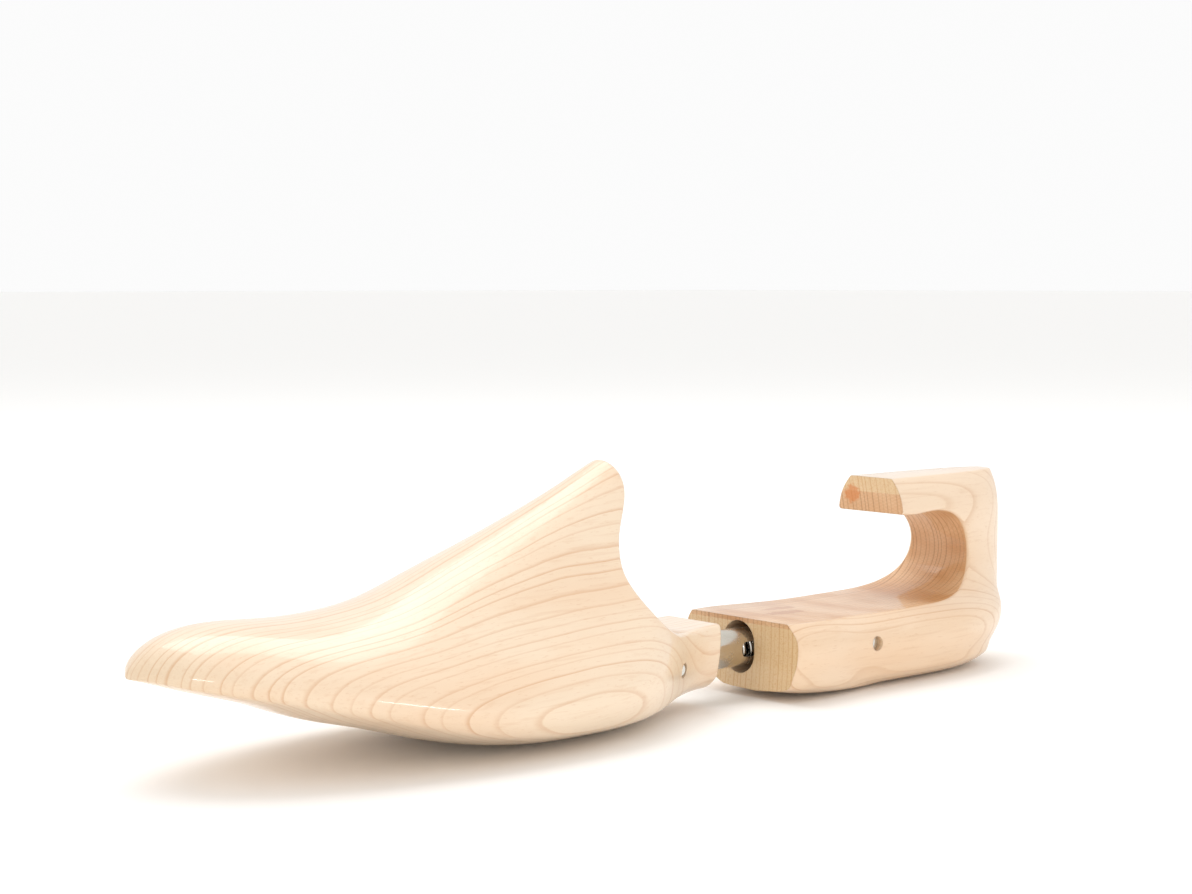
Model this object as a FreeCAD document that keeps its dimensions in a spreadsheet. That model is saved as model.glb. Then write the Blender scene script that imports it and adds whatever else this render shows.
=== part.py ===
"""Spring-loaded shoe tree: a wooden forepart and a hooked wooden heel on a slotted steel tube.

Frame, in millimetres: the tube's axis runs along X, the toe points to -X and the heel to +X,
Z is up and -Y is the outer side of the shoe. The origin is under the middle of the whole part,
on the floor it stands on.
"""
import FreeCAD
import Part
import math
import os
import Sketcher

VECTOR = FreeCAD.Vector

# Every driving size: name, value, what it sets. Lengths are in millimetres, angles in degrees.
SIZES = [
    # where the mechanism sits in the part's frame
    ("heel_face_x", 39.8, "front face of the heel block along X"),
    ("axis_y", -5.6, "tube axis across the part"),
    ("axis_height", 15.5, "tube axis above the floor"),
    # forepart block
    ("forepart_length", 184.0, "toe tip to neck end"),
    ("block_gap", 20.0, "neck end to heel face at rest"),
    ("ball_outer", 35.0, "tube axis to the outer side at the ball"),
    ("ball_inner", 46.0, "tube axis to the inner side at the ball"),
    ("toe_offset", 18.0, "tube axis to the toe tip, across"),
    ("toe_spring", 28.5, "toe edge above the floor"),
    ("instep_rise", 62.0, "tube axis up to the instep peak"),
    ("neck_rise", 10.4, "tube axis up to the neck's flat top"),
    # heel block
    ("heel_length", 119.0, "front face to the back of the heel"),
    ("heel_width", 53.0, "widest part of the heel"),
    ("hook_rise", 49.5, "tube axis up to the flat top of the hook"),
    ("arm_thickness", 11.5, "height of the upper arm at its tip"),
    ("arm_start", 62.0, "front face to the tip of the upper arm"),
    ("neck_round", 1.6, "rounding of the edge left by the instep cut"),
    ("hook_round", 1.0, "rounding of the edges round the hook"),
    ("lower_rise", 8.7, "tube axis up to the top of the lower arm"),
    ("hollow_back", 97.5, "front face to the back of the hollow"),
    # spring tube
    ("tube_diameter", 12.0, "outside diameter of the tube"),
    ("tube_wall", 0.8, "wall of the tube"),
    ("tube_front", 52.0, "heel face to the tube's front end"),
    ("tube_back", 46.0, "heel face to the tube's back end"),
    ("slot_front", 4.6, "heel face to the slots' front end"),
    # pins, plunger, seat and spring
    ("pin_diameter", 4.5, "diameter of both cross pins"),
    ("front_pin_x", 41.8, "heel face to the forepart's pin"),
    ("heel_pin_x", 36.3, "heel face to the heel's pin"),
    ("pin_recess", 1.6, "depth of the pins' ends below the wood"),
    ("seat_length", 20.0, "length of the front spring seat"),
    ("plunger_length", 20.0, "length of the plunger"),
    ("wire_diameter", 1.6, "spring wire"),
    ("spring_pitch", 3.5, "spring pitch"),
    # clearances, radial
    ("press_fit", 0.02, "round fixed pins and the tube in the neck"),
    ("running_fit", 0.06, "round the plunger in the tube"),
    ("pin_fit", 0.05, "round the heel pin in the plunger"),
    ("slot_side", 0.15, "heel pin to the edges of the tube's slots"),
    ("spring_fit", 0.5, "round the spring in the tube"),
    ("bore_side", 0.6, "tube to the heel bore's wall, sideways"),
    ("bore_height", 2.3, "tube to the heel bore's wall, up and down"),
    ("travel", 18.0, "how far the heel pushes towards the forepart"),
]

doc = FreeCAD.newDocument("ShoeTree")


def make_sheet():
    """Write the driving sizes into a spreadsheet, one named cell each."""
    sheet = doc.addObject("Spreadsheet::Sheet", "Sizes")
    for row, (name, value, meaning) in enumerate(SIZES, start=1):
        sheet.set("A%d" % row, name)
        sheet.set("B%d" % row, str(value))
        sheet.set("C%d" % row, meaning)
        sheet.setAlias("B%d" % row, name)
    doc.recompute()
    return sheet


sheet = make_sheet()


def size(name):
    """A driving size from the spreadsheet, as a float in millimetres."""
    return float(getattr(sheet, name))


def bind(thing, **formulas):
    """Bind properties to spreadsheet formulas. A double underscore in a name stands for a dot."""
    for prop, formula in formulas.items():
        thing.setExpression(prop.replace("__", "."), formula)


def place(thing, along="0", across="0", up="0"):
    """Bind a thing's position to formulas given from the heel face, on the tube's axis."""
    thing.setExpression("Placement.Base.x", "Sizes.heel_face_x + (%s)" % along)
    thing.setExpression("Placement.Base.y", "Sizes.axis_y + (%s)" % across)
    thing.setExpression("Placement.Base.z", "Sizes.axis_height + (%s)" % up)


def computed(name, shape):
    """Hold a computed shape, given from the heel face on the tube's axis, and place it in the frame."""
    thing = doc.addObject("Part::Feature", name)
    thing.Shape = shape
    place(thing)
    return thing


def joined(kind, name, base, tool):
    """A cut, common or fuse of two document objects."""
    thing = doc.addObject("Part::" + kind, name)
    thing.Base = base
    thing.Tool = tool
    return thing


def chord_steps(points, closed):
    """Curve parameters in proportion to the distances between points."""
    steps = [0.0]
    ends = points[1:] + points[:1] if closed else points[1:]
    for start, end in zip(points, ends):
        steps.append(steps[-1] + start.distanceToPoint(end))
    return [step / steps[-1] for step in steps]


def wire_through(points, closed=True, steps=None):
    """A smooth closed or open curve through points, with the same steps on curves that are lofted."""
    curve = Part.BSplineCurve()
    steps = steps or chord_steps(points, closed)
    curve.interpolate(Points=points, PeriodicFlag=closed, Parameters=steps)
    return curve.toShape()


# ---------------------------------------------------------------- forepart block

# Stations along the forepart. Columns: how far back from the toe tip as a share of the length,
# outer and inner half widths as shares of the ball's, height of the sole's edge and of its middle
# and of the ridge from the tube's axis (shares of toe spring, axis height and instep rise),
# how far the ridge is moved towards the toe's side, and the section's shape from toe to cone.
FORE_STATIONS = [
    (0.000, -0.470, 0.420, 0.478, 0.462, 0.232, 0.95, 0.0),
    (0.004, -0.380, 0.450, 0.476, 0.455, 0.258, 0.94, 0.0),
    (0.012, -0.280, 0.510, 0.468, 0.440, 0.290, 0.90, 0.0),
    (0.030, -0.110, 0.590, 0.440, 0.400, 0.338, 0.86, 0.0),
    (0.055, 0.060, 0.660, 0.402, 0.345, 0.375, 0.83, 0.0),
    (0.095, 0.245, 0.750, 0.345, 0.265, 0.403, 0.78, 0.0),
    (0.150, 0.425, 0.835, 0.262, 0.150, 0.410, 0.70, 0.0),
    (0.220, 0.600, 0.910, 0.145, -0.050, 0.402, 0.62, 0.0),
    (0.300, 0.750, 0.965, 0.010, -0.300, 0.412, 0.52, 0.1),
    (0.390, 0.880, 0.995, -0.140, -0.610, 0.461, 0.42, 0.25),
    (0.480, 0.970, 1.000, -0.250, -0.860, 0.571, 0.32, 0.45),
    (0.565, 1.000, 0.960, -0.310, -0.985, 0.677, 0.22, 0.65),
    (0.650, 0.990, 0.860, -0.335, -1.000, 0.790, 0.13, 0.85),
    (0.725, 0.930, 0.720, -0.345, -0.990, 0.897, 0.07, 1.0),
    (0.790, 0.820, 0.570, -0.330, -0.950, 0.997, 0.03, 1.0),
    (0.850, 0.650, 0.420, -0.295, -0.880, 1.060, 0.00, 1.0),
    (0.905, 0.480, 0.310, -0.250, -0.790, 1.070, 0.00, 1.0),
    (0.955, 0.375, 0.270, -0.210, -0.715, 1.070, 0.00, 1.0),
    (1.010, 0.348, 0.262, -0.190, -0.680, 1.070, 0.00, 1.0),
]

# Half width of a section, as a share of its widest, going up from the sole's edge to the ridge.
# Columns: share of the height, width in the toe, width in the cone.
SECTION_SHAPE = [
    (0.00, 0.955, 0.840),
    (0.07, 0.990, 0.940),
    (0.17, 1.000, 0.990),
    (0.30, 0.985, 0.900),
    (0.45, 0.930, 0.690),
    (0.60, 0.830, 0.520),
    (0.74, 0.690, 0.430),
    (0.86, 0.510, 0.360),
    (0.95, 0.290, 0.250),
]


def forepart_section(station):
    """The points of one cross-section of the forepart blank: the upper outline and the sole."""
    share, outer, inner, edge, middle, ridge, lean, cone = station
    length = size("forepart_length")
    x = -size("block_gap") - length * (1 - share)
    y_outer = -size("ball_outer") * outer
    y_inner = size("ball_inner") * inner
    z_edge = (size("toe_spring") - size("axis_height")) * edge / 0.478
    if edge < 0:
        z_edge = size("axis_height") * edge * 1.9
    z_middle = size("axis_height") * middle
    if middle > 0:
        z_middle = (size("toe_spring") - size("axis_height")) * middle / 0.478
    z_ridge = size("instep_rise") * ridge
    y_ridge = size("toe_offset") * lean
    left, right = [], []
    for up, toe_wide, cone_wide in SECTION_SHAPE:
        wide = toe_wide + (cone_wide - toe_wide) * cone
        z = z_edge + (z_ridge - z_edge) * up
        left.append(VECTOR(x, y_ridge + (y_outer - y_ridge) * wide, z))
        right.append(VECTOR(x, y_ridge + (y_inner - y_ridge) * wide, z))
    top = [VECTOR(x, y_ridge, z_ridge)]
    sole = []
    for part in (0.0, 0.16, 0.34, 0.5, 0.66, 0.84, 1.0):
        drop = 1 - abs(2 * part - 1) ** 2.6
        y = right[0].y + (left[0].y - right[0].y) * part
        sole.append(VECTOR(x, y, z_edge + (z_middle - z_edge) * drop))
    return left + top + right[::-1], sole


def forepart_blank():
    """The turned forepart, cut square at the toe's very tip and reaching just past the neck's end."""
    sections = [forepart_section(row) for row in FORE_STATIONS]
    over, under = sections[len(sections) // 2]
    over_steps = chord_steps(over, False)
    under_steps = chord_steps(under, False)
    wires = []
    for upper, sole in sections:
        edges = [wire_through(upper, False, over_steps), wire_through(sole, False, under_steps)]
        wires.append(Part.Wire(edges))
    return Part.makeLoft(wires, True, False)


def instep_cut():
    """What the saw takes off behind the instep: a long S that runs out onto the neck's top."""
    rise = size("instep_rise")
    neck = size("neck_rise")
    end = size("block_gap")
    curve = wire_through([
        VECTOR(-end - 62, 0, rise * 1.30),
        VECTOR(-end - 36.8, 0, rise * 0.985),
        VECTOR(-end - 36.2, 0, rise * 0.87),
        VECTOR(-end - 38.5, 0, rise * 0.76),
        VECTOR(-end - 41.2, 0, rise * 0.66),
        VECTOR(-end - 42.4, 0, rise * 0.56),
        VECTOR(-end - 42.4, 0, neck + rise * 0.33),
        VECTOR(-end - 40.4, 0, neck + rise * 0.235),
        VECTOR(-end - 36.8, 0, neck + rise * 0.145),
        VECTOR(-end - 31.8, 0, neck + rise * 0.065),
        VECTOR(-end - 25.5, 0, neck + rise * 0.018),
        VECTOR(-end - 18.0, 0, neck + rise * 0.002),
        VECTOR(-end - 10.0, 0, neck),
        VECTOR(-end + 5.0, 0, neck),
    ], closed=False)
    far_top = VECTOR(-end + 5.0, 0, rise * 1.30)
    outline = Part.Wire([
        curve,
        Part.LineSegment(VECTOR(-end + 5.0, 0, neck), far_top).toShape(),
        Part.LineSegment(far_top, VECTOR(-end - 62, 0, rise * 1.30)).toShape(),
    ])
    face = Part.Face(outline)
    face.translate(VECTOR(0, -90, 0))
    return face.extrude(VECTOR(0, 180, 0))


def make_forepart():
    """The forepart block: blank, instep cut, bore for the tube and hole for its pin."""
    blank = computed("forepart_blank", forepart_blank())
    saw = computed("instep_saw", instep_cut())
    sawn = joined("Cut", "forepart_sawn", blank, saw)
    squared = doc.addObject("Part::Box", "neck_end_cut")
    bind(squared, Length="60 mm", Width="160 mm", Height="200 mm")
    place(squared, "-Sizes.block_gap", "-80", "-100")
    block = joined("Cut", "forepart_squared", sawn, squared)
    block = eased("forepart_eased", block, "neck_round", is_saw_edge)
    bore = doc.addObject("Part::Cylinder", "neck_bore")
    bind(bore, Radius="Sizes.tube_diameter / 2 + Sizes.press_fit", Height="Sizes.tube_front")
    bore.Placement.Rotation = FreeCAD.Rotation(VECTOR(0, 1, 0), 90)
    place(bore, "-Sizes.tube_front - 0.5")
    bored = joined("Cut", "forepart_bored", block, bore)
    hole = pin_hole("forepart_pin_hole", "-Sizes.front_pin_x")
    drilled = joined("Cut", "forepart_block", bored, hole)
    return drilled


def eased(name, block, radius, chosen):
    """Round the chosen edges of a block."""
    doc.recompute()
    rounded = doc.addObject("Part::Fillet", name)
    rounded.Base = block
    edges = []
    for number, edge in enumerate(block.Shape.Edges, start=1):
        if chosen(edge.BoundBox):
            edges.append((number, size(radius), size(radius)))
    rounded.Edges = edges
    return rounded


def is_saw_edge(extent):
    """True for the forepart's one long edge left by the saw, round the instep and along the neck."""
    neck_end = size("heel_face_x") - size("block_gap")
    toe = neck_end - size("forepart_length")
    return extent.XMax > neck_end - 0.1 and toe + 10 < extent.XMin < neck_end - 5


def is_hook_edge(extent):
    """True for the long edges of the hollow and of the hook's flat top."""
    above = size("axis_height") + size("lower_rise") - 0.5
    tip = size("heel_face_x") + size("arm_start")
    return extent.ZMin > above and extent.XMax > tip + 5


def pin_hole(name, along):
    """A hole right through a block for its cross pin."""
    hole = doc.addObject("Part::Cylinder", name)
    bind(hole, Radius="Sizes.pin_diameter / 2 + Sizes.press_fit", Height="160 mm")
    hole.Placement.Rotation = FreeCAD.Rotation(VECTOR(1, 0, 0), -90)
    place(hole, along, "-80")
    return hole


# ---------------------------------------------------------------- heel block

# Rings round the heel blank from its base up. Columns: height from the tube's axis (shares of the
# axis height below it and of the hook's rise above it), half widths at the front on the outer and
# the inner side and at the middle, as shares of the heel's half width, the back end's distance
# from the front face as a share of the heel's length, where the ring starts in front (a share of
# the length), how long its rounded front is (likewise) and how far its front leans outwards.
HEEL_FOOT = (-1.000, 0.52, 0.10, 0.46, 0.755, 0.250, 0.14, 0.22)
HEEL_BELLY = (-0.530, 0.885, 0.44, 0.94, 0.928, -0.080, 0.10, 0.28)
HEEL_RINGS = [
    (-0.240, 0.925, 0.70, 0.99, 0.952, -0.100, 0.10, 0.10),
    (0.010, 0.945, 0.84, 1.00, 0.975, -0.105, 0.10, 0.04),
    (0.090, 0.930, 0.87, 0.94, 0.990, -0.105, 0.10, 0.02),
    (0.175, 0.800, 0.80, 0.77, 1.005, -0.105, 0.10, 0.00),
    (0.290, 0.620, 0.64, 0.62, 1.027, -0.105, 0.10, 0.00),
    (0.440, 0.545, 0.56, 0.55, 1.038, -0.105, 0.10, 0.00),
    (0.600, 0.520, 0.53, 0.525, 1.042, -0.105, 0.10, 0.00),
    (0.760, 0.520, 0.53, 0.525, 1.040, -0.105, 0.10, 0.00),
    (0.860, 0.490, 0.50, 0.495, 1.035, -0.105, 0.10, 0.00),
    (0.950, 0.395, 0.41, 0.410, 1.028, -0.105, 0.10, 0.00),
    (1.060, 0.240, 0.25, 0.250, 1.018, -0.105, 0.10, 0.00),
]


def heel_ring(row):
    """The points of one level ring round the heel blank."""
    level, outer, inner, middle, back, front, nose, lean = row
    z = level * size("hook_rise")
    if level < 0:
        z = level * size("axis_height")
    half = size("heel_width") / 2
    length = size("heel_length")

    def side(share, at_front):
        """Half width along one side, as a share."""
        towards = min(1.0, max(0.0, share / 0.45))
        wide = at_front + (middle - at_front) * towards
        u = min(1.0, (share - front) / nose)
        return wide * (1 - (1 - u) ** 2.2) ** 0.5

    def point(share, y):
        return VECTOR(share * length, y * half, z)

    turn = 0.60
    shoulder = front + nose
    stops = [front + nose * 0.08, front + nose * 0.40, shoulder]
    stops += [shoulder + (turn - shoulder) * 0.4, shoulder + (turn - shoulder) * 0.75]
    outer_side = [point(share, -side(share, outer)) for share in stops]
    inner_side = [point(share, side(share, inner)) for share in stops]
    round_back = []
    for step in range(0, 13):
        angle = math.radians(15 * step)
        across = -middle * math.copysign(abs(math.cos(angle)) ** 0.62, math.cos(angle))
        round_back.append(point(turn + (back - turn) * math.sin(angle), across))
    nose_tip = [point(front, -lean)]
    return round_back[6:] + inner_side[::-1] + nose_tip + outer_side + round_back[:6]


def base_rings():
    """Ring rows from the heel's flat foot up to its belly, round as a quarter circle."""
    rows = []
    for angle in (90, 80, 69, 57, 44, 30, 15, 0):
        down = math.sin(math.radians(angle))
        shrink = 1 - math.cos(math.radians(angle))
        foot, belly = HEEL_FOOT, HEEL_BELLY
        row = [b + (f - b) * shrink for f, b in zip(foot, belly)]
        row[0] = belly[0] + (foot[0] - belly[0]) * down
        rows.append(tuple(row))
    return rows


def heel_blank():
    """The turned heel before sawing, flat below where it stands."""
    rings = [heel_ring(row) for row in base_rings() + HEEL_RINGS]
    steps = chord_steps(rings[len(rings) // 2], True)
    return Part.makeLoft([Part.Wire([wire_through(ring, True, steps)]) for ring in rings], True, False)


def hollow_cut():
    """What the saw takes out above the lower arm and inside the hook, right through across."""
    floor = size("lower_rise")
    arm = size("hook_rise") - size("arm_thickness")
    back = size("hollow_back")
    tip = size("arm_start")
    high = arm - floor
    start = VECTOR(-20, 0, floor)
    end = VECTOR(tip, 0, arm)
    curve = wire_through([
        start,
        VECTOR(back * 0.35, 0, floor),
        VECTOR(back * 0.70, 0, floor + 0.1),
        VECTOR(back * 0.83, 0, floor + high * 0.035),
        VECTOR(back * 0.925, 0, floor + high * 0.14),
        VECTOR(back * 0.98, 0, floor + high * 0.31),
        VECTOR(back, 0, floor + high * 0.52),
        VECTOR(back * 0.985, 0, floor + high * 0.74),
        VECTOR(back * 0.935, 0, floor + high * 0.91),
        VECTOR(back * 0.855, 0, floor + high * 0.995),
        VECTOR(back * 0.77, 0, floor + high * 0.995),
        end,
    ], closed=False)
    top = size("hook_rise") * 1.3
    corners = [end, VECTOR(tip, 0, top), VECTOR(-20, 0, top), start]
    straight = [Part.LineSegment(a, b).toShape() for a, b in zip(corners, corners[1:])]
    face = Part.Face(Part.Wire([curve] + straight))
    face.translate(VECTOR(0, -90, 0))
    return face.extrude(VECTOR(0, 180, 0))


def make_heel():
    """The heel block: blank, hook sawn out, ends squared, oval bore and pin hole."""
    blank = computed("heel_blank", heel_blank())
    saw = computed("hollow_saw", hollow_cut())
    sawn = joined("Cut", "heel_sawn", blank, saw)
    face = doc.addObject("Part::Box", "heel_face_cut")
    bind(face, Length="40 mm", Width="160 mm", Height="200 mm")
    place(face, "-40", "-80", "-100")
    faced = joined("Cut", "heel_faced", sawn, face)
    top = doc.addObject("Part::Box", "hook_top_cut")
    bind(top, Length="220 mm", Width="160 mm", Height="60 mm")
    place(top, "-40", "-80", "Sizes.hook_rise")
    topped = joined("Cut", "heel_topped", faced, top)
    smooth = eased("heel_eased", topped, "hook_round", is_hook_edge)
    bored = joined("Cut", "heel_bored", smooth, make_heel_bore())
    hole = pin_hole("heel_pin_hole", "Sizes.heel_pin_x")
    return joined("Cut", "heel_block", bored, hole)


def cylinder(name, radius, length, direction, *where):
    """A cylinder with its radius and length bound to formulas, along X or Y."""
    rod = doc.addObject("Part::Cylinder", name)
    bind(rod, Radius=radius, Height=length)
    if direction == "X":
        rod.Placement.Rotation = FreeCAD.Rotation(VECTOR(0, 1, 0), 90)
    else:
        rod.Placement.Rotation = FreeCAD.Rotation(VECTOR(1, 0, 0), -90)
    place(rod, *where)
    return rod


def box(name, length, width, height, *where):
    """A box with its three sizes bound to formulas."""
    block = doc.addObject("Part::Box", name)
    bind(block, Length=length, Width=width, Height=height)
    place(block, *where)
    return block


def fused(name, *pieces):
    """Several overlapping pieces made one."""
    whole = doc.addObject("Part::MultiFuse", name)
    whole.Shapes = list(pieces)
    return whole


def make_heel_bore():
    """The oval bore the tube slides in: taller than the tube, so that the heel can rock on its pin."""
    radius = "Sizes.tube_diameter / 2 + Sizes.bore_side"
    rise = "(Sizes.bore_height - Sizes.bore_side)"
    depth = "Sizes.tube_back + Sizes.travel + 4"
    high = cylinder("heel_bore_high", radius, depth, "X", "-1", "0", rise)
    low = cylinder("heel_bore_low", radius, depth, "X", "-1", "0", "-" + rise)
    width = "Sizes.tube_diameter + 2 * Sizes.bore_side"
    middle = box("heel_bore_middle", depth, width, "2 * " + rise,
                 "-1", "-Sizes.tube_diameter / 2 - Sizes.bore_side", "-" + rise)
    return fused("heel_bore", high, low, middle)


# ---------------------------------------------------------------- tube, pins, seat and plunger


def origin_plane(body, role):
    """One of a body's own origin planes."""
    for feature in body.Origin.OriginFeatures:
        if feature.Role == role:
            return feature
    raise ValueError("no plane " + role)


def add_sketch(body, name, role):
    """An empty sketch on one of the body's own planes."""
    sketch = body.newObject("Sketcher::SketchObject", name)
    sketch.AttachmentSupport = [(origin_plane(body, role), "")]
    sketch.MapMode = "FlatFace"
    return sketch


def add_circle(sketch, diameter):
    """A circle round the sketch's origin whose diameter follows a formula."""
    index = sketch.addGeometry(Part.Circle(VECTOR(0, 0, 0), VECTOR(0, 0, 1), 3.0), False)
    sketch.addConstraint(Sketcher.Constraint("Coincident", index, 3, -1, 1))
    limit = sketch.addConstraint(Sketcher.Constraint("Diameter", index, 6.0))
    sketch.setExpression("Constraints[%d]" % limit, diameter)


def add_pad(body, name, role, diameters, length, centred=False):
    """A pad of one circle, or of the ring between two, along the plane's normal."""
    sketch = add_sketch(body, name + "_outline", role)
    for diameter in diameters:
        add_circle(sketch, diameter)
    pad = body.newObject("PartDesign::Pad", name)
    pad.Profile = sketch
    if centred:
        pad.Midplane = True
    bind(pad, Length=length)
    body.Tip = pad
    return pad


def add_cross_hole(body, name, diameter):
    """A hole right through the body along Y, at the body's origin."""
    sketch = add_sketch(body, name + "_outline", "XZ_Plane")
    add_circle(sketch, diameter)
    pocket = body.newObject("PartDesign::Pocket", name)
    pocket.Profile = sketch
    pocket.Type = "ThroughAll"
    pocket.Midplane = True
    body.Tip = pocket
    return pocket


def make_tube():
    """The slotted steel tube, its front end fixed in the forepart's neck."""
    body = doc.addObject("PartDesign::Body", "tube_blank")
    length = "Sizes.tube_front + Sizes.tube_back"
    add_pad(body, "tube_wall_pad", "YZ_Plane",
            ["Sizes.tube_diameter", "Sizes.tube_diameter - 2 * Sizes.tube_wall"], length)
    place(body, "-Sizes.tube_front")
    half = "(Sizes.pin_diameter / 2 + Sizes.slot_side)"
    end = "Sizes.heel_pin_x"
    start = "-Sizes.slot_front + %s" % half
    front = cylinder("slot_front_end", half, "30 mm", "Y", start, "-15")
    back = cylinder("slot_back_end", half, "30 mm", "Y", end, "-15")
    middle = box("slot_middle", "%s - (%s)" % (end, start), "30 mm", "2 * " + half,
                 start, "-15", "-" + half)
    hole = cylinder("tube_pin_hole", "Sizes.pin_diameter / 2 + Sizes.press_fit", "30 mm", "Y",
                    "-Sizes.front_pin_x", "-15")
    return joined("Cut", "spring_tube", body, fused("tube_openings", front, back, middle, hole))


def make_seat():
    """The plug in the tube that the forepart's pin holds and the spring pushes against."""
    body = doc.addObject("PartDesign::Body", "front_spring_seat")
    bore = "Sizes.tube_diameter - 2 * Sizes.tube_wall"
    add_pad(body, "seat_pad", "YZ_Plane", [bore + " - 2 * Sizes.press_fit"],
            "Sizes.seat_length", centred=True)
    add_cross_hole(body, "seat_pin_hole", "Sizes.pin_diameter + 2 * Sizes.press_fit")
    place(body, "-Sizes.front_pin_x")
    return body


def make_plunger():
    """The plug that carries the heel's pin and slides in the tube against the spring."""
    body = doc.addObject("PartDesign::Body", "spring_plunger")
    bore = "Sizes.tube_diameter - 2 * Sizes.tube_wall"
    add_pad(body, "plunger_pad", "YZ_Plane", [bore + " - 2 * Sizes.running_fit"],
            "Sizes.plunger_length", centred=True)
    add_cross_hole(body, "plunger_pin_hole", "Sizes.pin_diameter + 2 * Sizes.pin_fit")
    place(body, "Sizes.heel_pin_x")
    return body


def measure_reach(name, block, along):
    """Note in the sheet how far a block's two sides are from the tube's axis at a pin."""
    x = size("heel_face_x") + along
    z = size("axis_height")
    line = Part.makeLine(VECTOR(x, -200, z), VECTOR(x, 200, z))
    across = block.Shape.common(line).BoundBox
    row = len(SIZES) + sheet_rows_added()
    for side, value in (("outer", size("axis_y") - across.YMin), ("inner", across.YMax - size("axis_y"))):
        row += 1
        sheet.set("A%d" % row, "%s_%s" % (name, side))
        sheet.set("B%d" % row, "%.4f" % value)
        sheet.setAlias("B%d" % row, "%s_%s" % (name, side))
    doc.recompute()


def sheet_rows_added():
    """How many measured rows the sheet already has below the driving sizes."""
    row = 0
    while sheet.getContents("A%d" % (len(SIZES) + row + 1)):
        row += 1
    return row


def make_pin(name, block, along, formula):
    """A cross pin cut off just below the wood's sides, with its ends broken."""
    measure_reach(name, block, along)
    pin = doc.addObject("PartDesign::Body", name)
    length = "Sizes.%s_outer + Sizes.%s_inner - 2 * Sizes.pin_recess" % (name, name)
    pad = add_pad(pin, name + "_pad", "XZ_Plane", ["Sizes.pin_diameter"], length)
    pad.Reversed = True
    doc.recompute()
    chamfer = pin.newObject("PartDesign::Chamfer", name + "_ends")
    chamfer.Base = (pad, round_edges(pad.Shape))
    chamfer.Size = 0.3
    pin.Tip = chamfer
    place(pin, formula, "Sizes.pin_recess - Sizes.%s_outer" % name)
    return pin


def round_edges(shape):
    """The names of a shape's circular edges."""
    names = []
    for number, edge in enumerate(shape.Edges, start=1):
        if edge.Curve.TypeId == "Part::GeomCircle":
            names.append("Edge%d" % number)
    return names


# ---------------------------------------------------------------- spring


def make_spring():
    """The compression spring between the seat and the plunger, its ends ground flat."""
    start = "(Sizes.seat_length / 2 - Sizes.front_pin_x)"
    end = "(Sizes.heel_pin_x - Sizes.plunger_length / 2)"
    bore = "Sizes.tube_diameter / 2 - Sizes.tube_wall"
    radius = "(%s - Sizes.spring_fit - Sizes.wire_diameter / 2)" % bore
    length = "(%s - %s)" % (end, start)
    coil = doc.addObject("Part::Helix", "spring_path")
    bind(coil, Pitch="Sizes.spring_pitch", Radius=radius, Height=length + " + Sizes.wire_diameter")
    wire = doc.addObject("Part::Circle", "spring_wire_section")
    bind(wire, Radius="Sizes.wire_diameter / 2")
    wire.setExpression("Placement.Base.x", radius)
    wire.Placement.Rotation = FreeCAD.Rotation(VECTOR(1, 0, 0), 90)
    swept = doc.addObject("Part::Sweep", "spring_swept")
    swept.Sections = [wire]
    swept.Spine = (coil, [])
    swept.Solid = True
    swept.Frenet = True
    keep = doc.addObject("Part::Cylinder", "spring_ground_ends")
    bind(keep, Radius="Sizes.tube_diameter", Height=length)
    keep.setExpression("Placement.Base.z", "Sizes.wire_diameter / 2")
    ground = joined("Common", "compression_spring", swept, keep)
    ground.Placement.Rotation = FreeCAD.Rotation(VECTOR(0, 1, 0), 90)
    place(ground, start + " - Sizes.wire_diameter / 2")
    return ground


# ---------------------------------------------------------------- the assembly


def check_document():
    """Stop if any object of the document failed."""
    for thing in doc.Objects:
        if "Invalid" in thing.State or "Error" in thing.State:
            raise RuntimeError("%s failed: %s" % (thing.Name, thing.State))


def export(parts):
    """Write each sub-part's solid to parts/, named after its label."""
    for thing in parts:
        shape = thing.Shape
        if shape.isNull() or not shape.isValid():
            raise RuntimeError("bad shape: " + thing.Label)
    os.makedirs("parts", exist_ok=True)
    for thing in parts:
        thing.Shape.exportStep("parts/%s.step" % thing.Label)


def main():
    """Build every sub-part and write it."""
    forepart = make_forepart()
    heel = make_heel()
    parts = [forepart, heel, make_tube(), make_seat(), make_plunger(), make_spring()]
    doc.recompute()
    front_wood = doc.getObject("forepart_squared")
    heel_wood = doc.getObject("heel_topped")
    parts.append(make_pin("forepart_cross_pin", front_wood, -size("front_pin_x"), "-Sizes.front_pin_x"))
    parts.append(make_pin("heel_cross_pin", heel_wood, size("heel_pin_x"), "Sizes.heel_pin_x"))
    doc.recompute()
    check_document()
    export(parts)


main()
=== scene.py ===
"""Looks of a spring-loaded wooden shoe tree: two carved maple blocks on a slotted steel tube."""
import logging
import math
from dataclasses import dataclass
from enum import Enum

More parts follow.
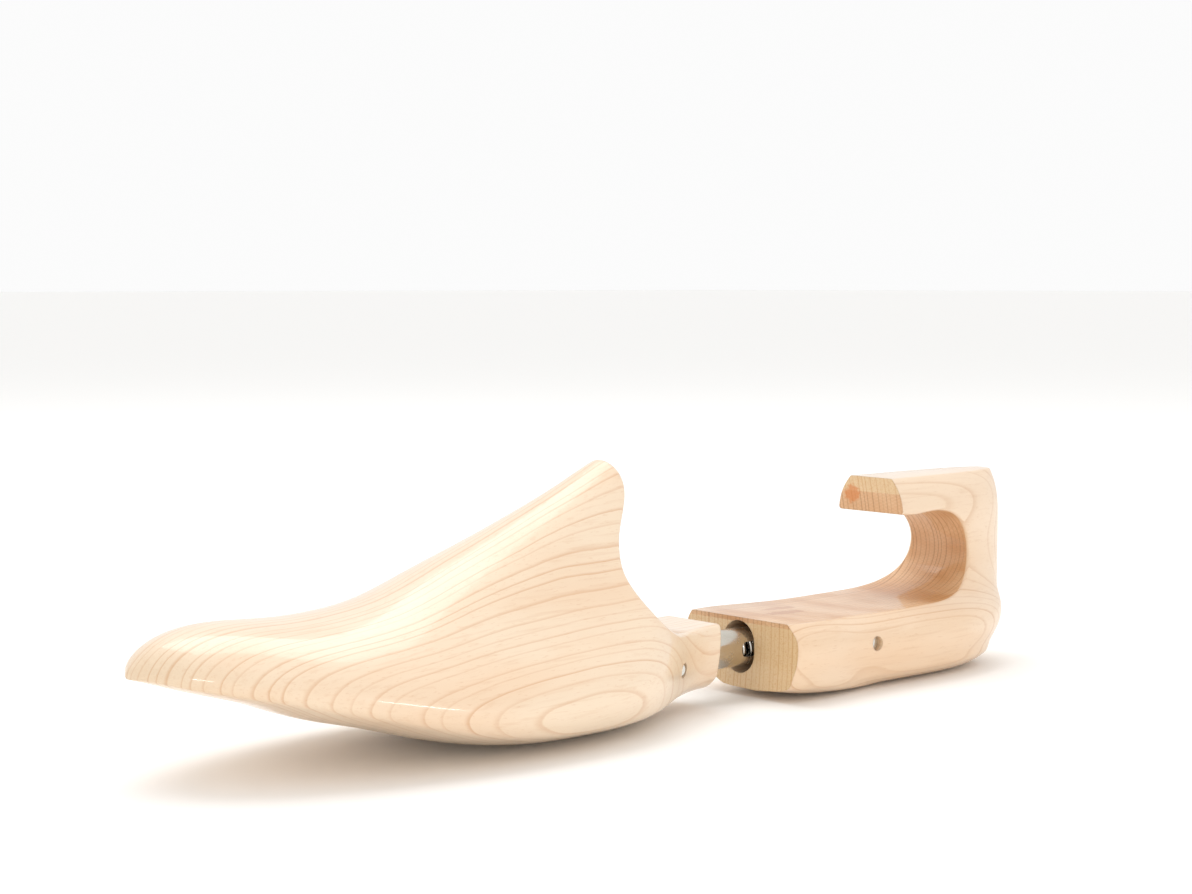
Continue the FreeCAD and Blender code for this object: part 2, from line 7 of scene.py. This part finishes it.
import bmesh
import bpy
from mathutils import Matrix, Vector


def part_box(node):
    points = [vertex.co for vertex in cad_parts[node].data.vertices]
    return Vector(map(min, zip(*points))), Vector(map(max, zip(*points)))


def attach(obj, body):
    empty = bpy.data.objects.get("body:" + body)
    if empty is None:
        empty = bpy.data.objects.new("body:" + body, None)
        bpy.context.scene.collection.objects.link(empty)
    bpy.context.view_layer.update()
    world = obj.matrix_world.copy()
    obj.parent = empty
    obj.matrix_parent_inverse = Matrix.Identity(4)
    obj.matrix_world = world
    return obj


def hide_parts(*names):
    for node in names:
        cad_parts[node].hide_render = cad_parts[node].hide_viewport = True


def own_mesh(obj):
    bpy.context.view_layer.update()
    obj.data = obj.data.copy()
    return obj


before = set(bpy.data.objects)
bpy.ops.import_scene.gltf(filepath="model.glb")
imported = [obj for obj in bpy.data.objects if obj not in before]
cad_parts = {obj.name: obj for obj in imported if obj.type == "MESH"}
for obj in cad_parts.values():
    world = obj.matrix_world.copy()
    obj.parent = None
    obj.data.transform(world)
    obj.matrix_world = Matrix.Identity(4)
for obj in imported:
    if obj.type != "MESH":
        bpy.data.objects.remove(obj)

LOG = logging.getLogger("shoe_tree")
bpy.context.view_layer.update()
MM = 0.001
MERGE = 0.001 * MM

# The shader nodes in use, by the work they do.
MATH = "ShaderNodeMath"
VECTOR = "ShaderNodeVectorMath"
MIX = "ShaderNodeMix"
RANGE = "ShaderNodeMapRange"
NOISE = "ShaderNodeTexNoise"
SPLIT = "ShaderNodeSeparateXYZ"
BUMP = "ShaderNodeBump"
PRINCIPLED = "ShaderNodeBsdfPrincipled"
SURFACE = "ShaderNodeOutputMaterial"

Point = tuple[float, float, float]
Colour = tuple[float, float, float, float]
Value = float | Point | Colour | bpy.types.NodeSocket | bpy.types.Node

# Places along the part in millimetres, worked out from the frame.
NECK_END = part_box("forepart_block")[1].x / MM
HEEL_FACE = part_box("heel_block")[0].x / MM
ARM_TIP = HEEL_FACE + 62.0
HOLLOW_BACK = HEEL_FACE + 98.7
HEEL_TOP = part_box("heel_block")[1].z / MM
LOWER_ARM_TOP = 24.2


class Axis(Enum):
    """A direction of the part's frame, as the index of its coordinate."""

    ALONG = 0
    ACROSS = 1
    UP = 2


class Body(Enum):
    """A body of the mechanism, as the frame names it."""

    FOREPART = "forepart"
    PLUNGER = "plunger"
    HEEL = "heel"


def linear(hex_colour: str) -> Colour:
    """Turn an sRGB hex colour into the linear colour that shaders use.

    Args:
        hex_colour: Six hex digits after a hash sign.

    Returns:
        Red, green, blue and an alpha of one, linear.
    """
    channels = []
    for start in (1, 3, 5):
        share = int(hex_colour[start:start + 2], 16) / 255
        channels.append(share / 12.92 if share <= 0.04045 else ((share + 0.055) / 1.055) ** 2.4)
    return (*channels, 1.0)


class Graph:
    """The node tree of a material or of the world, being written."""

    def __init__(self, owner: bpy.types.Material | bpy.types.World) -> None:
        """Start on an emptied tree.

        Args:
            owner: What the tree belongs to.
        """
        owner.use_nodes = True
        self.tree = owner.node_tree
        self.tree.nodes.clear()

    def add(self, kind: str, *inputs: Value, named: dict[str, Value] | None = None,
            **settings: object) -> bpy.types.Node:
        """Add one node with its settings and links.

        Args:
            kind: The node's Blender type name.
            *inputs: Values for its live sockets, in order. A node stands for its first live output.
            named: Values for sockets given by name.
            **settings: The node's own properties.

        Returns:
            The new node.
        """
        node = self.tree.nodes.new(kind)
        for name, value in settings.items():
            setattr(node, name, value)
        live = [socket for socket in node.inputs if socket.enabled]
        fed = [*zip(live, inputs), *((node.inputs[name], value) for name, value in (named or {}).items())]
        for socket, value in fed:
            if isinstance(value, bpy.types.Node):
                value = next(output for output in value.outputs if output.enabled)
            if isinstance(value, bpy.types.NodeSocket):
                self.tree.links.new(value, socket)
            else:
                socket.default_value = value
        return node


@dataclass(frozen=True)
class Mark:
    """A small coloured mark on the wood, an ellipsoid in the part's frame, in millimetres."""

    centre: Point
    reach: Point
    colour: str
    strength: float
    ragged: float


@dataclass(frozen=True)
class WoodPlace:
    """What the wood's layers are worked out from, at each point of the surface.

    The point is in millimetres. The shares say how far the surface faces an end of the block,
    how far it faces the heel, and how level it is across the block.
    """

    point: bpy.types.Node
    xyz: bpy.types.Node
    facing_end: bpy.types.Node
    towards_end: bpy.types.Node
    facing_heel: bpy.types.Node
    level: bpy.types.Node


@dataclass(frozen=True)
class MapleFinish:
    """Hard maple, turned, sanded and sealed with a clear satin lacquer.

    Maple is a pale, close wood: what the eye sees is a cream ground, thin tan lines where each
    year's ring ends, faint silky flecks, and a soft gloss from the lacquer. The rings are shells
    round the tree's heart, which lies beside the block and leans a little as it goes back.
    The heart's place, the ring's width and the sawn box are in millimetres.
    """

    name: str
    heart: tuple[float, float]
    lean: tuple[float, float]
    ring: float
    drift: float
    ripple: float
    ground: str
    warm: str
    ring_line: str
    end_grain: str
    sawn: str
    sawn_line: str
    sawn_low: Point
    sawn_high: Point
    cut_planes: tuple[float, ...]
    sawn_behind: bool = False
    marks: tuple[Mark, ...] = ()
    edge_round: float = 0.7

    def build(self) -> bpy.types.Material:
        """Write the wood's node tree.

        Returns:
            The finished material.
        """
        material = bpy.data.materials.new(self.name)
        graph = Graph(material)
        place = self.place(graph)
        line = self.ring_ends(graph, place)
        cut_across = self.cut_across(graph, place)
        sawn = self.sawn_share(graph, place)
        scratches = self.saw_marks(graph, place)
        colour = graph.add(MIX, cut_across, self.long_grain(graph, place, line),
                           self.end_colour(graph, place, line), data_type="RGBA")
        colour = graph.add(MIX, sawn, colour, self.sawn_colour(graph, place, line, scratches),
                           data_type="RGBA")
        for mark in self.marks:
            colour = self.marked(graph, place, colour, mark)
        height = self.relief(graph, place, line, sawn, cut_across, scratches)
        edge = graph.add("ShaderNodeBevel", self.edge_round * MM, samples=4)
        bump = graph.add(BUMP, named={"Strength": 0.35, "Distance": 0.4 * MM, "Height": height,
                                      "Normal": edge})
        shader = graph.add(PRINCIPLED, named={
            "Base Color": colour,
            "Roughness": self.roughness(graph, place, sawn, cut_across),
            "Normal": bump,
            "IOR": 1.5,
            "Coat Weight": 0.6,
            "Coat Roughness": 0.08,
            "Coat IOR": 1.48,
        })
        graph.add(SURFACE, shader)
        return material

    def place(self, graph: Graph) -> WoodPlace:
        """Work out the point in millimetres and which way the surface faces.

        Args:
            graph: The tree being written.

        Returns:
            The nodes that hold them.
        """
        coordinates = graph.add("ShaderNodeTexCoord")
        point = graph.add(VECTOR, coordinates.outputs["Object"], 1 / MM, operation="SCALE")
        normal = graph.add(SPLIT, coordinates.outputs["Normal"])
        along = graph.add(MATH, normal.outputs[0], operation="ABSOLUTE")
        across = graph.add(MATH, normal.outputs[1], operation="ABSOLUTE")
        return WoodPlace(
            point=point,
            xyz=graph.add(SPLIT, point),
            facing_end=graph.add(RANGE, along, 0.80, 0.97, interpolation_type="SMOOTHSTEP"),
            towards_end=graph.add(RANGE, along, 0.3, 1.0, interpolation_type="SMOOTHSTEP"),
            facing_heel=graph.add(RANGE, normal.outputs[0], 0.02, 0.12, interpolation_type="SMOOTHSTEP"),
            level=graph.add(RANGE, across, 0.22, 0.06, interpolation_type="SMOOTHSTEP"),
        )

    def grain(self, graph: Graph, place: WoodPlace, size: Point, detail: float) -> bpy.types.Node:
        """Lay smooth noise with a size of its own along, across and up.

        Args:
            graph: The tree being written.
            place: The point on the wood.
            size: The grain's size in millimetres.
            detail: How many finer layers it has.

        Returns:
            The noise, about 0 to 1.
        """
        scaled = graph.add(VECTOR, place.point, tuple(1 / length for length in size), operation="MULTIPLY")
        return graph.add(NOISE, scaled, 1.0, detail)

    def tinted(self, graph: Graph, colour: Value, amount: Value, most: float,
               tint: str) -> bpy.types.Node:
        """Lay a colour over another by an amount.

        Args:
            graph: The tree being written.
            colour: The colour below.
            amount: Where the new colour shows, 0 to 1.
            most: How strong it is at its strongest.
            tint: The new colour.

        Returns:
            The mixed colour.
        """
        share = graph.add(MATH, amount, most, operation="MULTIPLY")
        return graph.add(MIX, share, colour, linear(tint), data_type="RGBA")

    def ring_ends(self, graph: Graph, place: WoodPlace) -> bpy.types.Node:
        """Lay the thin line where each year's ring ends.

        The distance from the tree's heart is bent a little by noise, counted in rings of uneven
        width, and each ring's line has a strength of its own.

        Args:
            graph: The tree being written.
            place: The point on the wood.

        Returns:
            The line's strength.
        """
        drift = self.grain(graph, place, (120.0, 50.0, 50.0), 1.0)
        ripple = self.grain(graph, place, (26.0, 12.0, 12.0), 2.0)
        along = place.xyz.outputs[0]
        squares = []
        for lean, heart, way in zip(self.lean, self.heart, place.xyz.outputs[1:]):
            upright = graph.add(MATH, along, -lean, way, operation="MULTIPLY_ADD")
            away = graph.add(MATH, upright, heart, operation="SUBTRACT")
            squares.append(graph.add(MATH, away, away, operation="MULTIPLY"))
        radius = graph.add(MATH, graph.add(MATH, *squares, operation="ADD"), operation="SQRT")
        radius = graph.add(MATH, drift, self.drift, radius, operation="MULTIPLY_ADD")
        radius = graph.add(MATH, ripple, self.ripple, radius, operation="MULTIPLY_ADD")
        count = graph.add(MATH, radius, self.ring, operation="DIVIDE")
        uneven = graph.add(NOISE, count, 0.45, 1.0, noise_dimensions="1D")
        count = graph.add(MATH, uneven, 1.1, count, operation="MULTIPLY_ADD")
        share = graph.add(MATH, count, operation="FRACT")
        number = graph.add(MATH, count, operation="FLOOR")
        own = graph.add("ShaderNodeTexWhiteNoise", number, noise_dimensions="1D")
        rise = graph.add(RANGE, share, 0.55, 0.94, interpolation_type="SMOOTHSTEP")
        fall = graph.add(RANGE, share, 1.0, 0.94, interpolation_type="SMOOTHSTEP")
        sharp = graph.add(MATH, rise, 3.0, operation="POWER")
        line = graph.add(MATH, sharp, fall, operation="MULTIPLY")
        strength = graph.add(MATH, own, 0.7, 0.4, operation="MULTIPLY_ADD")
        return graph.add(MATH, line, strength, operation="MULTIPLY")

    def long_grain(self, graph: Graph, place: WoodPlace, line: Value) -> bpy.types.Node:
        """Colour the long grain: warm clouds, fine streaks and flecks, and the ring lines.

        Args:
            graph: The tree being written.
            place: The point on the wood.
            line: The ring lines.

        Returns:
            The colour.
        """
        cloud = graph.add(RANGE, self.grain(graph, place, (70.0, 22.0, 22.0), 3.0), 0.38, 0.72,
                          interpolation_type="SMOOTHSTEP")
        streak = graph.add(RANGE, self.grain(graph, place, (22.0, 0.9, 0.9), 3.0), 0.5, 0.75,
                           interpolation_type="SMOOTHSTEP")
        fleck = graph.add(RANGE, self.grain(graph, place, (3.2, 0.35, 0.35), 2.0), 0.62, 0.72,
                          interpolation_type="SMOOTHSTEP")
        colour = self.tinted(graph, linear(self.ground), cloud, 0.55, self.warm)
        colour = self.tinted(graph, colour, streak, 0.16, self.ring_line)
        colour = self.tinted(graph, colour, fleck, 0.22, self.ring_line)
        return self.tinted(graph, colour, line, 0.5, self.ring_line)

    def end_colour(self, graph: Graph, place: WoodPlace, line: Value) -> bpy.types.Node:
        """Colour the end grain, where the block is cut across: greyer, with sharper rings and pores.

        Args:
            graph: The tree being written.
            place: The point on the wood.
            line: The ring lines.

        Returns:
            The colour.
        """
        pores = graph.add(RANGE, self.grain(graph, place, (0.6, 0.45, 0.45), 2.0), 0.5, 0.68,
                          interpolation_type="SMOOTHSTEP")
        rays = graph.add(RANGE, self.grain(graph, place, (8.0, 4.0, 0.5), 2.0), 0.5, 0.8,
                         interpolation_type="SMOOTHSTEP")
        colour = self.tinted(graph, linear(self.end_grain), pores, 0.4, self.sawn)
        colour = self.tinted(graph, colour, rays, 0.25, self.ground)
        return self.tinted(graph, colour, line, 0.8, self.sawn)

    def sawn_colour(self, graph: Graph, place: WoodPlace, line: Value, scratches: Value) -> bpy.types.Node:
        """Colour the sawn faces: a darker tan, with ring lines and crossed scratches.

        Args:
            graph: The tree being written.
            place: The point on the wood.
            line: The ring lines.
            scratches: The saw's marks.

        Returns:
            The colour.
        """
        cloud = graph.add(RANGE, self.grain(graph, place, (14.0, 30.0, 14.0), 2.0), 0.3, 0.75,
                          interpolation_type="SMOOTHSTEP")
        bright = graph.add(RANGE, scratches, 0.75, 1.0, interpolation_type="SMOOTHSTEP")
        colour = graph.add(MIX, cloud, linear(self.warm), linear(self.sawn), data_type="RGBA")
        colour = self.tinted(graph, colour, bright, 0.28, self.ring_line)
        return self.tinted(graph, colour, line, 0.85, self.sawn_line)

    def cut_across(self, graph: Graph, place: WoodPlace) -> bpy.types.Node:
        """Find end grain: full on the flat cuts, and faint where a rounded surface faces an end.

        Args:
            graph: The tree being written.
            place: The point on the wood.

        Returns:
            The share of end grain.
        """
        share = graph.add(MATH, place.towards_end, 0.4, operation="MULTIPLY")
        for plane in self.cut_planes:
            offset = graph.add(MATH, place.xyz.outputs[0], plane, operation="SUBTRACT")
            distance = graph.add(MATH, offset, operation="ABSOLUTE")
            near = graph.add(RANGE, distance, 0.5, 0.2, interpolation_type="SMOOTHSTEP")
            flat = graph.add(MATH, near, place.facing_end, operation="MULTIPLY")
            share = graph.add(MATH, share, flat, operation="MAXIMUM")
        return share

    def sawn_share(self, graph: Graph, place: WoodPlace) -> bpy.types.Node:
        """Find the faces left by the saw: square across the block and inside the stated box.

        Args:
            graph: The tree being written.
            place: The point on the wood.

        Returns:
            The share of sawn surface.
        """
        blur = 0.2
        inside = place.level
        if self.sawn_behind:
            inside = graph.add(MATH, inside, place.facing_heel, operation="MULTIPLY")
        for axis in Axis:
            for limit, step in ((self.sawn_low[axis.value], blur), (self.sawn_high[axis.value], -blur)):
                past = graph.add(RANGE, place.xyz.outputs[axis.value], limit - step, limit + step,
                                 interpolation_type="SMOOTHSTEP")
                inside = graph.add(MATH, inside, past, operation="MULTIPLY")
        return inside

    def saw_marks(self, graph: Graph, place: WoodPlace) -> bpy.types.Node:
        """Lay the crossed scratches of a band saw and of coarse sanding, 1.5 mm apart.

        Real scratches are finer. They are drawn as coarse as they need to be to show.

        Args:
            graph: The tree being written.
            place: The point on the wood.

        Returns:
            The marks, 0 to 1.
        """
        along, across, up = place.xyz.outputs
        climb = graph.add(MATH, up, 1.25, operation="MULTIPLY")
        round_way = graph.add(MATH, along, climb, operation="ADD")
        wobble = self.grain(graph, place, (9.0, 9.0, 9.0), 2.0)
        waves = []
        for slant in (0.55, -0.55):
            way = graph.add(MATH, across, slant, round_way, operation="MULTIPLY_ADD")
            way = graph.add(MATH, wobble, 2.4, way, operation="MULTIPLY_ADD")
            angle = graph.add(MATH, way, 2 * math.pi / 1.5, operation="MULTIPLY")
            waves.append(graph.add(MATH, angle, operation="SINE"))
        crossed = graph.add(MATH, *waves, operation="MAXIMUM")
        return graph.add(MATH, crossed, 0.5, 0.5, operation="MULTIPLY_ADD")

    def marked(self, graph: Graph, place: WoodPlace, colour: Value, mark: Mark) -> bpy.types.Node:
        """Lay one small mark over the wood, with a ragged edge.

        Args:
            graph: The tree being written.
            place: The point on the wood.
            colour: The colour below it.
            mark: The mark.

        Returns:
            The colour with the mark on it.
        """
        away = graph.add(VECTOR, place.point, mark.centre, operation="SUBTRACT")
        scaled = graph.add(VECTOR, away, mark.reach, operation="DIVIDE")
        length = graph.add(VECTOR, scaled, operation="LENGTH")
        ragged = self.grain(graph, place, (2.2, 1.3, 1.3), 3.0)
        length = graph.add(MATH, ragged, 2 * mark.ragged, length, operation="MULTIPLY_ADD")
        inside = graph.add(RANGE, length, 1.15 + mark.ragged, 0.75 + mark.ragged,
                           interpolation_type="SMOOTHSTEP")
        return self.tinted(graph, colour, inside, mark.strength, mark.colour)

    def relief(self, graph: Graph, place: WoodPlace, line: Value, sawn: Value, cut_across: Value,
               scratches: Value) -> bpy.types.Node:
        """Raise fibres and rings faintly, scratch the sawn faces and open the end grain's pores.

        Args:
            graph: The tree being written.
            place: The point on the wood.
            line: The ring lines.
            sawn: The share of sawn surface.
            cut_across: The share of end grain.
            scratches: The saw's marks.

        Returns:
            The height.
        """
        fibre = self.grain(graph, place, (12.0, 0.5, 0.5), 2.0)
        height = graph.add(MATH, fibre, 0.16, operation="MULTIPLY")
        height = graph.add(MATH, line, 0.10, height, operation="MULTIPLY_ADD")
        scratched = graph.add(MATH, scratches, sawn, operation="MULTIPLY")
        height = graph.add(MATH, scratched, 0.5, height, operation="MULTIPLY_ADD")
        pores = self.grain(graph, place, (0.6, 0.5, 0.5), 1.0)
        open_pores = graph.add(MATH, pores, cut_across, operation="MULTIPLY")
        return graph.add(MATH, open_pores, 0.5, height, operation="MULTIPLY_ADD")

    def roughness(self, graph: Graph, place: WoodPlace, sawn: Value, cut_across: Value) -> bpy.types.Node:
        """Set the gloss: satin on the turned faces, duller on sawn faces and end grain.

        Args:
            graph: The tree being written.
            place: The point on the wood.
            sawn: The share of sawn surface.
            cut_across: The share of end grain.

        Returns:
            The roughness.
        """
        patch = self.grain(graph, place, (18.0, 8.0, 8.0), 3.0)
        rough = graph.add(MATH, patch, 0.14, 0.27, operation="MULTIPLY_ADD")
        rough = graph.add(MATH, sawn, 0.25, rough, operation="MULTIPLY_ADD")
        return graph.add(MATH, cut_across, 0.2, rough, operation="MULTIPLY_ADD")


@dataclass(frozen=True)
class MetalFinish:
    """A bare or plated metal, with the faint lines left by drawing or turning it.

    The eye takes it for metal from the coloured mirror, and for a handled one from the uneven
    gloss. The lines' size along, across and up, and their depth, are in millimetres.
    """

    name: str
    tint: str
    roughness: float
    line_size: Point
    line_depth: float
    smudge: float
    cloud_size: float = 6.25
    dullest: float = 0.8

    def build(self) -> bpy.types.Material:
        """Write the metal's node tree.

        Returns:
            The finished material.
        """
        material = bpy.data.materials.new(self.name)
        graph = Graph(material)
        point = graph.add("ShaderNodeTexCoord").outputs["Object"]
        scaled = graph.add(VECTOR, point, tuple(1 / (size * MM) for size in self.line_size),
                           operation="MULTIPLY")
        lines = graph.add(NOISE, scaled, 1.0, 3.0)
        cloud = graph.add(NOISE, point, 1 / (self.cloud_size * MM), 4.0)
        gloss = graph.add(RANGE, cloud, 0.35, 0.7, self.roughness - self.smudge / 2,
                          self.roughness + self.smudge)
        bright = linear(self.tint)
        dull = (*(channel * self.dullest for channel in bright[:3]), 1.0)
        shader = graph.add(PRINCIPLED, named={
            "Base Color": graph.add(MIX, cloud, bright, dull, data_type="RGBA"),
            "Metallic": 1.0,
            "Roughness": gloss,
            "Normal": graph.add(BUMP, named={"Strength": 0.4, "Distance": self.line_depth * MM,
                                             "Height": lines}),
        })
        graph.add(SURFACE, shader)
        return material


@dataclass(frozen=True)
class Piece:
    """One visible piece, made from the CAD node that it stands for."""

    node: str
    name: str
    slot: str
    body: Body
    crisp_degrees: float = 35.0

    def make(self, material: bpy.types.Material) -> bpy.types.Object:
        """Merge the node's loose triangles, smooth them, and tie the piece to the frame.

        Args:
            material: The piece's finish.

        Returns:
            The piece.
        """
        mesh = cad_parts[self.node].data.copy()
        piece = bpy.data.objects.new(self.name, mesh)
        bpy.context.scene.collection.objects.link(piece)
        self.merge(mesh)
        mesh.materials.clear()
        mesh.materials.append(material)
        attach(piece, self.body.value)
        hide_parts(self.node)
        LOG.info("%s: %d faces, %s", piece.name, len(mesh.polygons), material.name)
        return piece

    def merge(self, mesh: bpy.types.Mesh) -> None:
        """Close the mesh and shade it smoothly between its crisp edges.

        Args:
            mesh: A copy of the node's loose triangles.
        """
        work = bmesh.new()
        work.from_mesh(mesh)
        bmesh.ops.remove_doubles(work, verts=work.verts, dist=MERGE)
        for face in work.faces:
            face.smooth = True
        for edge in work.edges:
            gentle = edge.calc_face_angle(0.0) < math.radians(self.crisp_degrees)
            edge.smooth = edge.is_manifold and gentle
        work.to_mesh(mesh)
        work.free()
        if "custom_normal" in mesh.attributes:
            mesh.attributes.remove(mesh.attributes["custom_normal"])


@dataclass(frozen=True)
class PinnedBlock:
    """A carved wooden block with its cross pin."""

    block: Piece
    pin: Piece
    wood: MapleFinish
    steel: MetalFinish

    def build(self) -> None:
        """Make the block and its pin."""
        self.block.make(self.wood.build())
        self.pin.make(self.steel.build())


@dataclass(frozen=True)
class TubeSet:
    """The slotted tube, the seat fixed in its front end and the plunger that slides in it."""

    plate: MetalFinish
    plug: MetalFinish
    tube: Piece = Piece("spring_tube", "tube_plated", "tube_steel", Body.FOREPART)
    seat: Piece = Piece("front_spring_seat", "seat_turned", "plug_steel", Body.FOREPART)
    plunger: Piece = Piece("spring_plunger", "plunger_turned", "plug_steel", Body.PLUNGER)

    def build(self) -> None:
        """Make the tube and both plugs."""
        turned = self.plug.build()
        self.tube.make(self.plate.build())
        self.seat.make(turned)
        self.plunger.make(turned)


@dataclass(frozen=True)
class Spring:
    """The compression spring between the seat and the plunger."""

    wire: MetalFinish
    joint: str = "plunger_slide"
    coil: Piece = Piece("compression_spring", "spring_drawn", "spring_wire", Body.FOREPART)

    def build(self) -> None:
        """Make the spring and give it a mesh of its own. The real spring shortens as the plunger slides
        in.
        """
        spring = self.coil.make(self.wire.build())
        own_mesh(spring)


@dataclass(frozen=True)
class Lamp:
    """A soft oblong light, with its size in metres."""

    name: str
    place: Point
    target: Point
    size: tuple[float, float]
    watts: float

    def build(self) -> None:
        """Make the light and aim it at its target."""
        data = bpy.data.lights.new(self.name, "AREA")
        data.shape = "RECTANGLE"
        data.size, data.size_y = self.size
        data.energy = self.watts
        lamp = bpy.data.objects.new(self.name, data)
        lamp.location = self.place
        aim = Vector(self.target) - Vector(self.place)
        lamp.rotation_euler = aim.to_track_quat("-Z", "Y").to_euler()
        bpy.context.scene.collection.objects.link(lamp)


@dataclass(frozen=True)
class Studio:
    """A plain pale floor, soft light and the camera, in metres."""

    place: Point = (-0.42992, -0.46538, 0.12885)
    look: Point = (0.6634, 0.7443, -0.0771)
    lens_mm: float = 63.86
    sensor_mm: float = 36.0
    clip: tuple[float, float] = (0.02, 60.0)
    floor_colour: str = "#FBFAF8"
    floor_size: float = 60.0
    floor_gap: float = 0.05 * MM
    sky_colour: str = "#FFFFFF"
    sky_strength: float = 0.97

    def build(self) -> None:
        """Make the floor, the lights and the camera."""
        self.lay_floor()
        self.light()
        self.aim_camera()
        bpy.context.scene.view_settings.view_transform = "Standard"
        LOG.info("studio: floor, sky, lamps and camera")

    def lay_floor(self) -> None:
        """Lay matt white paper just under the part."""
        bpy.ops.mesh.primitive_plane_add(size=self.floor_size, location=(0, 0, -self.floor_gap))
        floor = bpy.context.object
        floor.name = "studio_floor"
        material = bpy.data.materials.new("Matt pale paper")
        graph = Graph(material)
        graph.add(SURFACE, graph.add(PRINCIPLED, named={
            "Base Color": linear(self.floor_colour),
            "Roughness": 0.7,
            "Specular IOR Level": 0.3,
        }))
        floor.data.materials.append(material)

    def light(self) -> None:
        """Set a bright even sky, a soft light above and behind, and two low ones for the glints."""
        world = bpy.data.worlds.new("Pale studio")
        bpy.context.scene.world = world
        graph = Graph(world)
        sky = graph.add("ShaderNodeBackground", linear(self.sky_colour), self.sky_strength)
        graph.add("ShaderNodeOutputWorld", sky)
        Lamp("overhead", (0.10, 0.45, 1.30), (0.0, 0.0, 0.03), (1.2, 0.9), 8.0).build()
        Lamp("ball_glint", (0.0, -0.92, 0.06), (-0.11, -0.03, 0.02), (0.22, 0.03), 0.7).build()
        Lamp("toe_glint", (-0.97, -0.42, 0.06), (-0.15, -0.01, 0.03), (0.25, 0.03), 0.7).build()

    def aim_camera(self) -> None:
        """Put the camera in its place and make it the scene's own."""
        data = bpy.data.cameras.new("studio_camera")
        data.lens = self.lens_mm
        data.sensor_width = self.sensor_mm
        data.clip_start, data.clip_end = self.clip
        camera = bpy.data.objects.new("studio_camera", data)
        camera.location = self.place
        camera.rotation_euler = Vector(self.look).to_track_quat("-Z", "Y").to_euler()
        bpy.context.scene.collection.objects.link(camera)
        bpy.context.scene.camera = camera


# Flat-sawn maple: open arches and closed rings on the ball, long lines up the cone.
FOREPART_WOOD = MapleFinish(
    name="Satin lacquered maple, forepart",
    heart=(210.0, 125.0),
    lean=(-0.04, 0.28),
    ring=2.6,
    drift=4.0,
    ripple=0.8,
    ground="#EBD5BA",
    warm="#E6C4A2",
    ring_line="#C98F5A",
    end_grain="#CDB088",
    sawn="#B98F5F",
    sawn_line="#94673A",
    sawn_low=(NECK_END - 49.8, -40.0, 25.0),
    sawn_high=(NECK_END + 1.2, 40.0, 76.0),
    cut_planes=(NECK_END,),
    sawn_behind=True,
)
# Slower-grown maple: close, straight lines on its ends, a plain side, a darker sawn hollow.
HEEL_WOOD = MapleFinish(
    name="Satin lacquered maple, heel",
    heart=(171.0, 20.0),
    lean=(0.0, 0.05),
    ring=1.9,
    drift=0.6,
    ripple=0.15,
    ground="#E9CFB2",
    warm="#DFB88F",
    ring_line="#C28E5B",
    end_grain="#DDBF92",
    sawn="#C48C54",
    sawn_line="#9A683A",
    sawn_low=(HEEL_FACE - 0.8, -40.0, LOWER_ARM_TOP - 0.8),
    sawn_high=(HOLLOW_BACK, 40.0, HEEL_TOP - 5.0),
    cut_planes=(HEEL_FACE, ARM_TIP),
    marks=(
        Mark((ARM_TIP, 2.6, HEEL_TOP - 6.0), (3.0, 3.4, 3.0), "#D07A2C", 0.7, 0.6),
        Mark((HEEL_FACE + 18.2, -8.0, LOWER_ARM_TOP), (9.0, 3.0, 1.5), "#A9672A", 0.55, 0.7),
        Mark((HEEL_FACE + 24.2, 0.0, LOWER_ARM_TOP), (7.0, 2.4, 1.5), "#A9672A", 0.5, 0.7),
        Mark((HEEL_FACE + 67.7, -26.0, 3.0), (0.7, 0.7, 0.7), "#5B3A1E", 0.9, 0.1),
    ),
)
# Drawn tube, bright-dipped and plated: a soft warm grey mirror with lines along it.
PLATE = MetalFinish("Satin nickel plate on drawn steel", "#D8D2C6", 0.24, (30.0, 0.5, 0.5), 0.0015, 0.08)
# Bar turned on a lathe: fine lines round it and a duller grey.
PLUG = MetalFinish("Turned steel", "#B8B6B2", 0.32, (0.2, 20.0, 20.0), 0.01, 0.1)
# Cropped end of bright wire: a pale, slightly uneven dot in each hole.
PIN = MetalFinish("Bright drawn steel pin", "#E2DFD8", 0.2, (0.4, 0.4, 0.4), 0.008, 0.12)
# Polished by drawing: small hard highlights on each coil in the dark slot.
WIRE = MetalFinish("Bright spring wire", "#D5D3CE", 0.14, (2.0, 2.0, 2.0), 0.001, 0.06)


def main() -> None:
    """Build every sub-assembly in order, then the studio round them."""
    logging.basicConfig(level=logging.INFO, format="%(name)s: %(message)s")
    PinnedBlock(
        Piece("forepart_block", "forepart_wood", "forepart_wood", Body.FOREPART),
        Piece("forepart_cross_pin", "forepart_pin_bright", "pin_steel", Body.FOREPART),
        FOREPART_WOOD,
        PIN,
    ).build()
    PinnedBlock(
        Piece("heel_block", "heel_wood", "heel_wood", Body.HEEL),
        Piece("heel_cross_pin", "heel_pin_bright", "pin_steel", Body.HEEL),
        HEEL_WOOD,
        PIN,
    ).build()
    TubeSet(PLATE, PLUG).build()
    Spring(WIRE).build()
    Studio().build()


if __name__ == "__main__":
    main()
